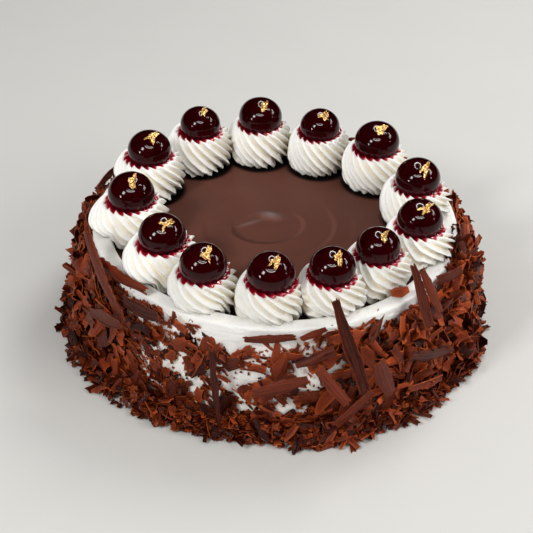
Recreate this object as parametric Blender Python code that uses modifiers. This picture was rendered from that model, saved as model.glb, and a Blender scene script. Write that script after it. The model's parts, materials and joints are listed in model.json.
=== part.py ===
"""Black forest cake: a cream-coated drum with a raised rim, a pool of ganache inside the rim, a ring of
piped cream rosettes that each carry a glazed cherry, and a coat of chocolate shavings round the side
with larger chocolate curls stuck on it.

Units are metres, +Z is up. The origin is the middle of the underside. Bearings are degrees,
anticlockwise from +X as seen from above, so -90 is the front of the cake.
"""

import math

import bmesh
import bpy
from mathutils import Matrix, Vector, noise
from mathutils.bvhtree import BVHTree

MM = 0.001
GAP = 0.3 * MM  # kept between pieces that touch

# Cream drum
CREAM_RADIUS = 92.0 * MM  # at the rim
CREAM_BASE_RADIUS = 96.0 * MM
CREAM_HEIGHT = 57.0 * MM
RIM_EDGE = 2.2 * MM  # how far the rim's outer edge is rounded off
RIM_WIDTH = 8.0 * MM  # of the raised rim, from the outside to the top of its inner slope
RIM_SLOPE = 1.2 * MM  # how far the inner slope runs in
RIM_WAVE = 0.7 * MM  # how uneven the spread rim is
DRUM_STEPS = 48

# Ganache pool, inside the rim
GANACHE_TOP = 51.2 * MM
GANACHE_THICKNESS = 4.0 * MM
SWIRL_PITCH = 13.0 * MM  # the spatula's spiral moves out this far in each turn
SWIRL_DEPTH = 0.7 * MM
SWIRL_REACH = 50.0 * MM  # the relief fades out here, before the rosettes
SWIRL_RINGS = 5

# Rosettes: each is (bearing, distance from the cake's axis in mm, cherry radius in mm, mound radius in mm)
ROSETTES = [
    (-91.5, 74.5, 11.4, 16.6),
    (-69.0, 73.5, 11.0, 16.4),
    (-46.5, 70.5, 10.8, 16.6),
    (-21.0, 75.0, 11.4, 17.2),
    (9.0, 73.0, 11.7, 18.0),
    (42.0, 72.0, 12.1, 17.6),
    (70.0, 68.5, 10.8, 16.8),
    (97.0, 73.5, 12.0, 17.0),
    (123.0, 76.0, 11.0, 17.2),
    (152.0, 75.5, 11.5, 18.2),
    (-173.5, 72.5, 11.9, 18.4),
    (-140.5, 70.0, 11.6, 18.0),
    (-116.0, 76.0, 11.3, 16.8),
]
ROSETTE_HEIGHT = 19.4 * MM  # above the ganache
ROSETTE_RIDGES = 16  # left by the piping tip
RIDGE_DEPTH = 1.15 * MM
RIDGE_TWIST = math.radians(75)  # the ridges lean this far round from the mound's top to its foot
# A mound's outline, as (share of its radius, share of its height above what it sits on), top to bottom
ROSETTE_OUTLINE = [(0.0, 1.0), (0.66, 1.0), (0.95, 0.73), (1.0, 0.36), (0.78, -0.1), (0.0, -0.1)]
ROSETTE_STEP = 4.0 * MM  # its seat rises from the ganache to the rim's top over this distance
ROSETTE_PRESS = 0.2 * MM  # two neighbours flatten against each other, this far apart from the middle

# Glazed cherries
CHERRY_STEPS = 13
# A cherry's outline, as shares of its radius, top to bottom: a slightly flat ball that is cut off low down
CHERRY_OUTLINE = [(0.0, 1.29), (0.5, 1.17), (0.88, 0.81), (1.0, 0.4), (0.86, 0.0), (0.0, 0.0)]

# Coat of shavings: its section as (radius, height) in mm, from its top, down its outside and back under it
COAT_SECTION = [
    (93.6, 48.0),
    (97.4, 51.4),
    (101.8, 42.0),
    (104.4, 24.0),
    (105.4, 8.0),
    (110.0, 2.2),
    (110.6, 0.0),
    (96.4, 0.0),
]
COAT_INNER_RADIUS = 96.4 * MM  # up to here its radius stays even
COAT_STEPS = 64
COAT_UNEVEN = 4.0 * MM  # twice as far as its lumps stand out or in
COAT_LUMP = 8.0 * MM
COAT_THIN = (-101, 34, 3.8)  # (bearing, half width, depth in mm) of the place where it is thin
# Height of the coat's top edge in mm, by bearing
COAT_CREST = [
    (-180, 54.0),
    (-160, 58.0),
    (-126, 57.0),
    (-113, 55.0),
    (-107, 47.0),
    (-101, 45.0),
    (-96, 50.0),
    (-84, 51.5),
    (-72, 55.0),
    (-60, 56.0),
    (-50, 52.0),
    (-42, 54.0),
    (-28, 53.5),
    (-14, 57.0),
    (12, 56.0),
    (35, 51.5),
    (60, 54.5),
    (85, 51.0),
    (110, 54.0),
    (135, 51.0),
    (160, 53.0),
    (180, 54.0),
]

# Large curls: (name, start, end, width, cup, narrowing). Start and end are (bearing, radius in mm, height
# in mm) before the curl settles, width is in mm, cup is how many degrees of arc its section bends through,
# and narrowing is the share of the width that is gone at the two ends.
# These lean on the side of the cake.
SIDE_CURLS = [
    ("front_tall", (-66.8, 107.0, 27.5), (-74.2, 97.5, 75.0), 7.4, 70, (0.15, 0.55)),
    ("front_slab", (-73.4, 107.6, 9.0), (-64.6, 107.0, 25.0), 6.0, 40, (0.1, 0.2)),
    ("front_strip", (-78.9, 104.6, 43.2), (-70.8, 105.4, 20.0), 5.4, 30, (0.1, 0.1)),
    ("front_roll", (-84.0, 106.6, 43.0), (-74.6, 106.6, 50.4), 5.0, 200, (0.45, 0.1)),
    ("front_wide", (-95.0, 105.0, 27.4), (-81.2, 105.0, 35.4), 7.6, 60, (0.25, 0.35)),
    ("front_sliver", (-106.0, 101.6, 49.0), (-103.7, 105.6, 5.0), 3.6, 60, (0.2, 0.5)),
    ("right_tall_a", (-45.4, 105.2, 45.0), (-48.6, 96.6, 78.5), 6.2, 80, (0.1, 0.5)),
    ("right_tall_b", (-40.0, 104.4, 48.5), (-43.4, 96.6, 72.0), 5.6, 50, (0.2, 0.4)),
    ("right_oval", (-52.4, 107.4, 36.0), (-38.2, 108.2, 25.0), 6.6, 70, (0.35, 0.35)),
    ("right_slab", (-63.4, 106.0, 41.0), (-58.8, 107.2, 20.0), 8.6, 40, (0.2, 0.3)),
    ("right_low", (-52.0, 107.6, 16.5), (-39.4, 107.8, 11.0), 4.8, 60, (0.3, 0.3)),
    ("left_tall", (-133.5, 104.4, 47.5), (-156.0, 99.4, 73.0), 8.4, 110, (0.45, 0.05)),
    ("left_broad", (-134.0, 102.6, 56.4), (-122.0, 102.4, 56.8), 8.6, 30, (0.25, 0.3)),
    ("left_oval", (-146.2, 105.4, 40.0), (-132.6, 105.4, 46.6), 9.0, 40, (0.4, 0.45)),
    ("back_tall", (62.0, 106.4, 38.0), (54.0, 98.0, 68.0), 7.0, 90, (0.15, 0.45)),
    ("back_wide", (96.0, 108.6, 28.0), (83.0, 108.4, 36.0), 7.6, 60, (0.3, 0.3)),
    ("back_roll", (24.0, 107.0, 44.0), (34.0, 107.4, 38.0), 5.0, 200, (0.2, 0.4)),
]
# These lie on the coat's top edge or on the rim.
RIM_CURLS = [
    ("front_edge_a", (-98.0, 95.8, 57.0), (-84.2, 95.6, 59.0), 5.0, 60, (0.3, 0.2)),
    ("front_edge_b", (-82.6, 96.4, 57.0), (-75.6, 95.4, 60.6), 4.4, 60, (0.2, 0.4)),
    ("right_rim", (-35.0, 94.4, 69.0), (-24.4, 99.4, 64.6), 7.0, 50, (0.3, 0.2)),
    ("left_roll", (-151.0, 94.6, 66.0), (-130.4, 91.4, 65.6), 5.4, 200, (0.05, 0.35)),
    ("back_edge", (163.0, 97.8, 60.6), (149.0, 97.4, 61.4), 5.4, 70, (0.3, 0.2)),
]
CURL_THICKNESS = 0.9 * MM
CURL_LENGTH_FACES = 3
CURL_WIDTH_FACES = 3
CURL_GAP = 1.0 * MM  # between a settled curl and what it leans on

COLOURS = {
    # name: (linear RGB, roughness, metallic)
    "cream": ((0.88, 0.85, 0.78), 0.55, 0.0),
    "ganache": ((0.095, 0.042, 0.030), 0.38, 0.0),
    "cherry_glaze": ((0.060, 0.001, 0.006), 0.06, 0.0),
    "chocolate": ((0.125, 0.034, 0.016), 0.5, 0.0),
}


def clear_scene():
    for obj in list(bpy.data.objects):
        bpy.data.objects.remove(obj)


def new_collection(name):
    collection = bpy.data.collections.new(name)
    bpy.context.scene.collection.children.link(collection)
    return collection


def new_material(name):
    colour, roughness, metallic = COLOURS[name]
    material = bpy.data.materials.new(name)
    material.use_nodes = True
    shader = material.node_tree.nodes["Principled BSDF"]
    shader.inputs["Base Color"].default_value = (*colour, 1.0)
    shader.inputs["Roughness"].default_value = roughness
    shader.inputs["Metallic"].default_value = metallic
    return material


def add_object(name, mesh, collection, material=None):
    obj = bpy.data.objects.new(name, mesh)
    collection.objects.link(obj)
    if material:
        mesh.materials.clear()
        mesh.materials.append(material)
    return obj


def applied_mesh(obj):
    """The object's mesh with its modifiers applied. The object itself is removed."""
    bpy.context.view_layer.update()
    evaluated = obj.evaluated_get(bpy.context.evaluated_depsgraph_get())
    mesh = bpy.data.meshes.new_from_object(evaluated)
    mesh.name = obj.name
    bpy.data.objects.remove(obj)
    return mesh


def turned(name, outline, steps, collection, loop=False):
    """A mesh made by turning an outline, which runs down its outer side, about +Z. A loop is closed."""
    mesh = bpy.data.meshes.new(name)
    edges = [(i, i + 1) for i in range(len(outline) - 1)]
    if loop:
        edges.append((len(outline) - 1, 0))
    mesh.from_pydata([(radius, 0.0, height) for radius, height in outline], edges, [])
    obj = add_object(name + "_outline", mesh, collection)
    screw = obj.modifiers.new("turn", "SCREW")
    screw.axis = "Z"
    screw.angle = math.tau
    screw.steps = steps
    screw.render_steps = steps
    screw.use_merge_vertices = True
    screw.merge_threshold = 0.01 * MM
    return applied_mesh(obj)


def reshape(mesh, rule):
    """Moves every point of the mesh to where the rule puts it."""
    for vertex in mesh.vertices:
        vertex.co = rule(vertex.co.copy())
    mesh.update()


def smooth(mesh, angle=40):
    mesh.shade_smooth()
    mesh.set_sharp_from_angle(angle=math.radians(angle))


def around(bearing, radius, height):
    """The point at this bearing in degrees, radius and height."""
    angle = math.radians(bearing)
    return Vector((radius * math.cos(angle), radius * math.sin(angle), height))


def ease(x):
    """0 below 0, 1 above 1, and smooth in between."""
    x = min(max(x, 0.0), 1.0)
    return x * x * (3 - 2 * x)


def rim_lift(point):
    """How far the uneven rim stands above its even height here, less towards the middle."""
    bearing = math.atan2(point.y, point.x)
    wave = 0.6 * math.sin(2 * bearing + 0.6) + 0.4 * math.sin(5 * bearing - 1.1)
    start = CREAM_RADIUS - RIM_WIDTH - RIM_SLOPE
    return RIM_WAVE * wave * ease((math.hypot(point.x, point.y) - start) / RIM_SLOPE)


def lift_rim(point):
    """The rim's top edge follows its waves, and what is well below it stays level."""
    share = ease((point.z - GANACHE_TOP) / (CREAM_HEIGHT - GANACHE_TOP))
    point.z += share * rim_lift(point)
    return point


def make_drum(collection, material):
    """The cream-coated cake, uncut and so solid, with a raised rim round a flat floor."""
    inner = CREAM_RADIUS - RIM_WIDTH
    floor = GANACHE_TOP - GANACHE_THICKNESS - GAP
    outline = [
        (0.0, floor),
        (inner - RIM_SLOPE, floor),
        (inner - RIM_SLOPE, GANACHE_TOP),
        (inner, CREAM_HEIGHT),
        (CREAM_RADIUS - RIM_EDGE, CREAM_HEIGHT),
        (CREAM_RADIUS - 0.8 * MM, CREAM_HEIGHT - 0.9 * MM),
        (CREAM_RADIUS, CREAM_HEIGHT - RIM_EDGE),
        (CREAM_BASE_RADIUS, 0.0),
        (0.0, 0.0),
    ]
    mesh = turned("cake_drum", outline, DRUM_STEPS, collection)
    reshape(mesh, lift_rim)
    smooth(mesh)
    return add_object("cake_drum", mesh, collection, material)


def swirl_height(point):
    """The spatula's spiral: each turn climbs outwards and drops at its edge, less towards the reach."""
    radius = math.hypot(point.x, point.y)
    turns = radius / SWIRL_PITCH + math.atan2(point.y, point.x) / math.tau
    climb = turns % 1.0
    edge = 0.8  # of a turn's width; past it the surface drops to the next turn
    level = climb / edge if climb < edge else (1 - climb) / (1 - edge)
    return -SWIRL_DEPTH * (1 - level) * (1 - ease(radius / SWIRL_REACH - 0.15))


def make_ganache(collection, material):
    """The pool of ganache that fills the rim, with the spatula's spiral on its top."""
    radius = CREAM_RADIUS - RIM_WIDTH - RIM_SLOPE - GAP
    bottom = GANACHE_TOP - GANACHE_THICKNESS
    rings = [(SWIRL_REACH * i / SWIRL_RINGS, GANACHE_TOP) for i in range(SWIRL_RINGS + 1)]
    outline = [*rings, (radius, GANACHE_TOP), (radius, bottom), (0.0, bottom)]
    mesh = turned("ganache", outline, DRUM_STEPS, collection)

    def relief(point):
        if point.z > GANACHE_TOP - 0.1 * MM:
            point.z += swirl_height(point)
        return point

    reshape(mesh, relief)
    smooth(mesh)
    return add_object("ganache", mesh, collection, material)


def make_seat_cutter(collection):
    """What lies under the rosettes, grown by the gap. It cuts the mounds' feet to the rim and the ganache."""
    inner = CREAM_RADIUS - RIM_WIDTH
    top = CREAM_HEIGHT + GAP
    wide = CREAM_RADIUS + 40 * MM
    outline = [
        (0.0, GANACHE_TOP + GAP),
        (inner - RIM_SLOPE - GAP, GANACHE_TOP + GAP),
        (inner - GAP, top),
        (CREAM_RADIUS - RIM_EDGE, top),
        (wide, top),
        (wide, GANACHE_TOP - 10 * MM),
        (0.0, GANACHE_TOP - 10 * MM),
    ]
    mesh = turned("seat_cutter", outline, DRUM_STEPS, collection)
    reshape(mesh, lift_rim)
    cutter = add_object("seat_cutter", mesh, collection)
    cutter.hide_render = True
    cutter.display_type = "WIRE"
    return cutter


def seat_height(point):
    """How far above the ganache a mound's foot sits here: as high as the rim where the rim carries it."""
    rise = ease((math.hypot(point.x, point.y) - (CREAM_RADIUS - RIM_WIDTH)) / ROSETTE_STEP + 0.9)
    return (CREAM_HEIGHT - GANACHE_TOP) * rise + rim_lift(point)


def pressing_planes(index):
    """(point, direction) of the plane against each neighbour. The mound lies behind both planes."""
    bearing, distance, _, mound = ROSETTES[index]
    own = around(bearing, distance * MM, 0.0)
    planes = []
    for step in (-1, 1):
        bearing, distance, _, other_mound = ROSETTES[(index + step) % len(ROSETTES)]
        way = around(bearing, distance * MM, 0.0) - own
        direction = way.normalized()
        planes.append((way * mound / (mound + other_mound) - direction * ROSETTE_PRESS, direction))
    return planes


def make_rosette(index, blank, cutter, collection, material):
    """A mound piped with a star tip: a turned blank with ridges, which lean round towards its foot."""
    bearing, distance, _, mound = ROSETTES[index]
    planes = pressing_planes(index)
    middle = around(bearing, distance * MM, 0.0)
    phase = 2.4 * index  # so that no two mounds start alike

    def pipe(point):
        spread = math.hypot(point.x, point.y)
        place = Vector()
        if spread > 0.01:
            angle = math.atan2(point.y, point.x)
            radius = spread * mound * MM + RIDGE_DEPTH * math.cos(ROSETTE_RIDGES * angle)
            angle += phase + RIDGE_TWIST * (1 - point.z)
            place += Vector((radius * math.cos(angle), radius * math.sin(angle), 0.0))
        for at, direction in planes:
            place -= direction * max(0.0, (place - at).dot(direction))
        seat = seat_height(middle + place)
        place.z = seat + point.z * (ROSETTE_HEIGHT - seat)
        return place

    mesh = blank.copy()
    reshape(mesh, pipe)
    smooth(mesh, 30)
    rosette = add_object(f"rosette_{index + 1:02d}", mesh, collection, material)
    rosette.location = around(bearing, distance * MM, GANACHE_TOP)
    cut = rosette.modifiers.new("seat", "BOOLEAN")
    cut.operation = "DIFFERENCE"
    cut.solver = "MANIFOLD"
    cut.object = cutter
    return rosette


def make_cherry(index, blank, collection, material):
    """A glazed cherry that sits on its rosette."""
    bearing, distance, cherry, _ = ROSETTES[index]
    mesh = blank.copy()
    mesh.transform(Matrix.Scale(cherry * MM, 4))
    smooth(mesh, 60)
    obj = add_object(f"cherry_{index + 1:02d}", mesh, collection, material)
    obj.location = around(bearing, distance * MM, GANACHE_TOP + ROSETTE_HEIGHT + GAP)
    return obj


def coat_crest(bearing):
    """Height of the coat's top edge at this bearing."""
    after = next(i for i in range(1, len(COAT_CREST)) if COAT_CREST[i][0] >= bearing)
    (low, low_height), (high, high_height) = COAT_CREST[after - 1], COAT_CREST[after]
    return MM * (low_height + (high_height - low_height) * ease((bearing - low) / (high - low)))


def make_coat(collection, material):
    """The coat of shavings: a ring round the drum, out to the uneven outline of the heap."""
    outline = [(radius * MM, height * MM) for radius, height in COAT_SECTION]
    mesh = turned("shavings_coat", outline, COAT_STEPS, collection, loop=True)
    top = max(height for _, height in outline)
    thin_bearing, thin_width, thin_depth = COAT_THIN

    def lump(point):
        radius = math.hypot(point.x, point.y)
        bearing = math.degrees(math.atan2(point.y, point.x))
        if radius > COAT_INNER_RADIUS + 0.5 * MM:
            thin = thin_depth * MM * ease(1 - abs(bearing - thin_bearing) / thin_width)
            push = COAT_UNEVEN * noise.noise(point / COAT_LUMP) - thin
            point.x *= 1 + push / radius
            point.y *= 1 + push / radius
        point.z += (coat_crest(bearing) - top) * ease(point.z / top)
        return point

    reshape(mesh, lump)
    return add_object("shavings_coat", mesh, collection, material)


def curl_frame(tail, head):
    """The curl's own axes: Y along it, Z away from the cake's axis, and its origin halfway along."""
    middle = (head + tail) / 2
    along = (head - tail).normalized()
    out = Vector((middle.x, middle.y, 0.0))
    out = (out - along * out.dot(along)).normalized()
    frame = Matrix((along.cross(out), along, out)).transposed().to_4x4()
    frame.translation = middle
    return frame


def make_curl(name, start, end, width, cup, narrowing, collection, material):
    """A shaved strip of chocolate from start to end, cupped across its width and bowed round the cake."""
    tail = around(start[0], start[1] * MM, start[2] * MM)
    head = around(end[0], end[1] * MM, end[2] * MM)
    length = (head - tail).length
    half_turn = math.radians(end[0] - start[0]) / 2
    bow = (start[1] + end[1]) / 2 * MM * (1 - math.cos(half_turn))
    half_cup = math.radians(cup) / 2
    bend = width * MM / 2 / math.sin(min(half_cup, math.pi / 2))  # the radius of its section's arc

    sheet = bmesh.new()
    bmesh.ops.create_grid(sheet, x_segments=CURL_LENGTH_FACES, y_segments=CURL_WIDTH_FACES, size=1.0)
    for vertex in sheet.verts:
        along, turn = vertex.co.x, vertex.co.y * half_cup
        kept = 1 - narrowing[0] * ease(-along) - narrowing[1] * ease(along)
        rise = kept * bend * (math.cos(turn) - math.cos(half_cup)) + bow * (1 - along**2)
        vertex.co = (kept * bend * math.sin(turn), along * length / 2, rise)
    bmesh.ops.reverse_faces(sheet, faces=sheet.faces)
    mesh = bpy.data.meshes.new(name)
    sheet.to_mesh(mesh)
    sheet.free()
    curl = add_object("curl_" + name, mesh, collection, material)
    curl.matrix_world = curl_frame(tail, head)
    thicken = curl.modifiers.new("thickness", "SOLIDIFY")
    thicken.thickness = CURL_THICKNESS
    thicken.offset = 0.0
    return curl


def points_and_tree(obj):
    """The object's points as they stand, and a tree of its faces for casting rays at it."""
    bpy.context.view_layer.update()
    evaluated = obj.evaluated_get(bpy.context.evaluated_depsgraph_get())
    points = [obj.matrix_world @ vertex.co for vertex in evaluated.data.vertices]
    faces = [tuple(face.vertices) for face in evaluated.data.polygons]
    return points, BVHTree.FromPolygons(points, faces)


def settle(curl, direction, others):
    """Moves the curl in the direction until it is CURL_GAP from the first thing in its way."""
    points, tree = points_and_tree(curl)
    runs = []
    for other_points, other_tree in others:
        runs += [other_tree.ray_cast(point, direction)[3] for point in points]
        runs += [tree.ray_cast(point, -direction)[3] for point in other_points]
    nearest = min(run for run in runs if run is not None)
    curl.location += direction * (nearest - CURL_GAP)
    others.append(points_and_tree(curl))


def main():
    clear_scene()
    cake = new_collection("black_forest_cake")
    cutters = new_collection("cutters")
    materials = {name: new_material(name) for name in COLOURS}

    drum = make_drum(cake, materials["cream"])
    make_ganache(cake, materials["ganache"])
    coat = make_coat(cake, materials["chocolate"])
    solids = [points_and_tree(drum), points_and_tree(coat)]

    cutter = make_seat_cutter(cutters)
    rosette_blank = turned("rosette_blank", ROSETTE_OUTLINE, 2 * ROSETTE_RIDGES, cutters)
    cherry_blank = turned("cherry_blank", CHERRY_OUTLINE, CHERRY_STEPS, cutters)
    for index in range(len(ROSETTES)):
        rosette = make_rosette(index, rosette_blank, cutter, cake, materials["cream"])
        cherry = make_cherry(index, cherry_blank, cake, materials["cherry_glaze"])
        solids += [points_and_tree(rosette), points_and_tree(cherry)]

    for shape in RIM_CURLS:
        curl = make_curl(*shape, cake, materials["chocolate"])
        settle(curl, Vector((0.0, 0.0, -1.0)), solids)
    for shape in SIDE_CURLS:
        curl = make_curl(*shape, cake, materials["chocolate"])
        inwards = Vector((-curl.location.x, -curl.location.y, 0.0)).normalized()
        settle(curl, inwards, solids)


main()
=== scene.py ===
"""Looks of the black forest cake: whipped cream, ganache, glazed cherries, gold leaf and shaved chocolate.

Lengths are in millimetres up to new_mesh(), which turns them into metres. Bearings are anticlockwise from
+X as seen from above, so the front of the cake is at -90 degrees.
"""

import json
import math
from typing import NamedTuple

import bpy
import numpy as np
from mathutils import Matrix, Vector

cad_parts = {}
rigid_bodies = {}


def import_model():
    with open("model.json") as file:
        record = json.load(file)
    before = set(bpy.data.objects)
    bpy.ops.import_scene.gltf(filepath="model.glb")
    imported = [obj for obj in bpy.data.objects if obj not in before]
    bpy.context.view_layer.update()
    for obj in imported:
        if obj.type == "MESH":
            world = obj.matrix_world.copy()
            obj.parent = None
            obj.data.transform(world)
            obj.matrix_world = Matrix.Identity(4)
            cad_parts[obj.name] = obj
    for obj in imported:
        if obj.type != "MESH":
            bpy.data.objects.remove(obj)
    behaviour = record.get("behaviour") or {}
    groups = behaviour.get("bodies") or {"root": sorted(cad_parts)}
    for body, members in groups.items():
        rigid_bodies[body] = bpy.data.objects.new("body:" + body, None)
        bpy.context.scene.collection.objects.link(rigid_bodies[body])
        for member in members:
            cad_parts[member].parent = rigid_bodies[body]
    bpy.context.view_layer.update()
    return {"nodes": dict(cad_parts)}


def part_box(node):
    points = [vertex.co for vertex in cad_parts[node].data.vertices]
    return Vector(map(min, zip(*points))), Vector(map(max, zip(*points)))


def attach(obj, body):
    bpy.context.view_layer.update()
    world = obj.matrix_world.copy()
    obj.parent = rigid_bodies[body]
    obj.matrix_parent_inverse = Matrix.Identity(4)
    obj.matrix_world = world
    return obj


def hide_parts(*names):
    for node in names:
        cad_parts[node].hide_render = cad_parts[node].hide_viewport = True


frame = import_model()

MM = 0.001
TURN = 2 * math.pi
SEED = 41

# Cream drum and ganache
CREAM_TOP = 57.0
RIM_RADIUS = 92.0
RIM_WAVE = 0.7
WALL_TOP = 54.0
FOOT_RADIUS = 96.0
GANACHE_TOP = 51.2
GANACHE_COLUMNS = 300
# Low steps that the spatula left: radius, bearings in degrees from and to, and rise
SPATULA_ARCS = [(18.0, -205, 60, 0.75), (34.0, -75, 48, 0.60), (44.0, -45, 30, 0.40), (33.0, 150, 232, 0.30)]

# Rosettes
MOUND_RIDGES = [17, 17, 18, 17, 19, 19, 20, 18, 19, 19, 18, 17, 17]
MOUND_RADII = [16.6, 16.4, 16.6, 17.2, 18.0, 17.6, 16.8, 17.0, 17.2, 18.2, 18.4, 18.0, 16.8]
MOUND_SPREAD = [0, 0, 0, 0.5, 0, 0, 0, 0, 0, 1.5, 4.0, 2.5, 0]  # how far the foot spreads outwards on the rim
MOUND_TALL = 22.4
RIDGE_COLUMNS = 12
RIDGE_DEPTH = 3.5
RIDGE_TWIST = math.radians(108)
RIDGE_VALLEY_AT = 0.70  # of the way from one crest to the next
FOOT_ARCH = 3.0
FOOT_FLARE = 1.3
# A mound from its middle, over the crest round the cherry and in under its foot: shares of radius and height
MOUND_CREST = [(0.0, 0.97), (0.42, 0.98), (0.62, 1.05), (0.78, 1.08), (0.92, 0.94)]
MOUND_SIDE = [(1.01, 0.70), (1.03, 0.47), (0.985, 0.27), (0.89, 0.11), (0.80, 0.0)]
MOUND_OUTLINE = MOUND_CREST + MOUND_SIDE + [(0.72, -0.05), (0.6, -0.08), (0.0, -0.08)]

# Cherries
CHERRY_FLATNESS = 0.87
CHERRY_FOOT = 0.42  # from a cherry's foot up to its widest place, as a share of its radius

# Chocolate curls: width, cup in degrees, and the share of the width that is gone at the two ends
CURLS = {
    "front_tall": (6.2, -140, 0.15, 0.45),
    "front_slab": (6.0, 40, 0.1, 0.2),
    "front_strip": (5.4, 30, 0.1, 0.1),
    "front_roll": (5.0, 200, 0.45, 0.1),
    "front_wide": (7.6, 60, 0.25, 0.35),
    "front_sliver": (3.6, 60, 0.2, 0.5),
    "front_edge_a": (5.0, 60, 0.3, 0.2),
    "front_edge_b": (4.4, 60, 0.2, 0.4),
    "right_tall_a": (6.2, -120, 0.1, 0.5),
    "right_tall_b": (5.6, 50, 0.2, 0.4),
    "right_oval": (6.6, 70, 0.35, 0.35),
    "right_slab": (8.6, 40, 0.2, 0.3),
    "right_low": (4.8, -90, 0.3, 0.3),
    "right_rim": (7.0, 50, 0.3, 0.2),
    "left_tall": (8.4, 110, 0.45, 0.05),
    "left_broad": (8.6, 30, 0.25, 0.3),
    "left_oval": (9.0, -50, 0.4, 0.45),
    "left_roll": (5.4, 200, 0.05, 0.35),
    "back_tall": (7.0, 90, 0.15, 0.45),
    "back_wide": (7.6, 60, 0.3, 0.3),
    "back_roll": (5.0, 200, 0.2, 0.4),
    "back_edge": (5.4, 70, 0.3, 0.2),
}
CURL_THICKNESS = 0.9

# Heap of shavings
HEAP_COLUMNS = 64  # of the solid
HEAP_INNER = 96.9  # its outer points are further out than this
HEAP_TALL = 60  # whole millimetres, over its top edge
FLOOR_GAP = 0.1  # under the lowest shavings

# Camera, in millimetres and radians
CAMERA_RISE = math.radians(35.139)
CAMERA_ROLL = math.radians(1.074)
CAMERA_DISTANCE = 673.2
CAMERA_TARGET = np.array([-3.9, -18.9, 40.0])

# Ring lamps as they show in a cherry: each is (right, up, radius, from, to in degrees, half width), all in
# shares of the cherry's radius
LAMP_BANDS = [
    (0.03, 0.54, 0.13, -60, 260, 0.010),
    (0.0, 0.29, 0.27, 222, 305, 0.011),
    (0.0, 0.29, 0.20, 228, 300, 0.006),
    (0.44, 0.26, 0.12, -40, 60, 0.007),
    (0.40, 0.24, 0.20, -35, 10, 0.006),
    (0.36, 0.32, 0.05, 0, 200, 0.007),
    (-0.45, -0.15, 0.012, 0, 360, 0.012),
    (-0.44, -0.19, 0.010, 0, 360, 0.010),
    (0.60, 0.00, 0.008, 0, 360, 0.007),
]
BAND_DISTANCE = 1100.0
BAND_STEPS = 48
LAMP_TARGET = np.array([0.0, 0.0, 40.0])
FLOOR_REACH = 3000.0


# ---- numbers


def ease(x):
    """0 below 0, 1 above 1, and 3x^2 - 2x^3 in between."""
    x = np.clip(x, 0.0, 1.0)
    return x * x * (3 - 2 * x)


def dice(number):
    return np.random.default_rng(SEED + number)


def hashed(cells, seed):
    """A number between -1 and 1 for each whole-number cell, scrambled from its three indices and the seed."""
    mixed = cells[..., 0] * 73856093 ^ cells[..., 1] * 19349663 ^ cells[..., 2] * 83492791
    mixed = mixed ^ (seed * 2654435761 % 4294967291)
    mixed = (mixed ^ (mixed >> 13)) * 1274126177 & 0xFFFFFFFFFFF
    mixed = (mixed ^ (mixed >> 16)) * 1911520717 & 0xFFFFFFFFFFF
    return (mixed >> 12 & 0xFFFF) / 32767.5 - 1.0


def noise(points, size, number, octaves=1):
    """Smooth noise of about -1 to 1 with bumps of this size: cell values blended by ease() along x, y and z.
    Each further octave is half as large and half as strong."""
    total, strength = 0.0, 1.0
    for octave in range(octaves):
        scaled = np.asarray(points) * (2**octave / size) + 17.3 * octave
        cells = np.floor(scaled).astype(np.int64)
        part = ease(scaled - cells)
        for corner in np.ndindex(2, 2, 2):
            step = np.array(corner)
            share = np.prod(np.where(step == 1, part, 1 - part), axis=-1)
            total = total + strength * share * hashed(cells + step, SEED + number + octave)
        strength /= 2
    return total


def smooth_curve(stops, count):
    """Points along a Catmull-Rom curve through the stops, evenly spaced along it."""
    stops = np.asarray(stops, float)
    ends = np.concatenate([2 * stops[:1] - stops[1:2], stops, 2 * stops[-1:] - stops[-2:-1]])
    share = np.linspace(0, 1, 40, endpoint=False)[:, None]
    pieces = []
    for before, start, end, after in zip(ends, ends[1:], ends[2:], ends[3:]):
        bend = 2 * before - 5 * start + 4 * end - after
        turn = -before + 3 * start - 3 * end + after
        pieces.append(start + 0.5 * (share * (end - before) + share**2 * bend + share**3 * turn))
    dense = np.concatenate([*pieces, stops[-1:]])
    along = np.concatenate([[0], np.cumsum(np.linalg.norm(np.diff(dense, axis=0), axis=1))])
    even = np.linspace(0, along[-1], count)
    return np.stack([np.interp(even, along, column) for column in dense.T], axis=-1)


def between(values, at):
    """Values that belong to whole steps round a loop, blended from each step to the next."""
    return np.interp(at % len(values), np.arange(len(values) + 1), np.append(values, values[0]))


def stacked(*columns):
    return np.stack(np.broadcast_arrays(*columns), axis=-1)


def around(bearing, radius, height):
    """Points at bearings in radians, radii and heights."""
    return stacked(radius * np.cos(bearing), radius * np.sin(bearing), height)


def ring(columns):
    """Bearings evenly round a turn, along a row."""
    return np.linspace(0, TURN, columns, endpoint=False)[None]


def unit(vectors):
    return vectors / np.linalg.norm(vectors, axis=-1, keepdims=True)


def box(node):
    low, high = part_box(node)
    return np.array(low) / MM, np.array(high) / MM


def solid_points(node):
    """The corners of a solid of the frame."""
    vertices = frame["nodes"][node].data.vertices
    points = np.zeros(len(vertices) * 3)
    vertices.foreach_get("co", points)
    return points.reshape(-1, 3) / MM


# ---- meshes


def grid_faces(rows, columns, loop=False):
    """Quads of a grid whose columns go round. They face outwards where the rows run down and the columns run
    anticlockwise seen from above. In a loop the last row also joins the first."""
    i, j = np.meshgrid(np.arange(rows if loop else rows - 1), np.arange(columns), indexing="ij")
    below, beside = (i + 1) % rows, (j + 1) % columns
    corners = [i * columns + j, below * columns + j, below * columns + beside, i * columns + beside]
    return np.stack(corners, axis=-1).reshape(-1, 4)


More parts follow.
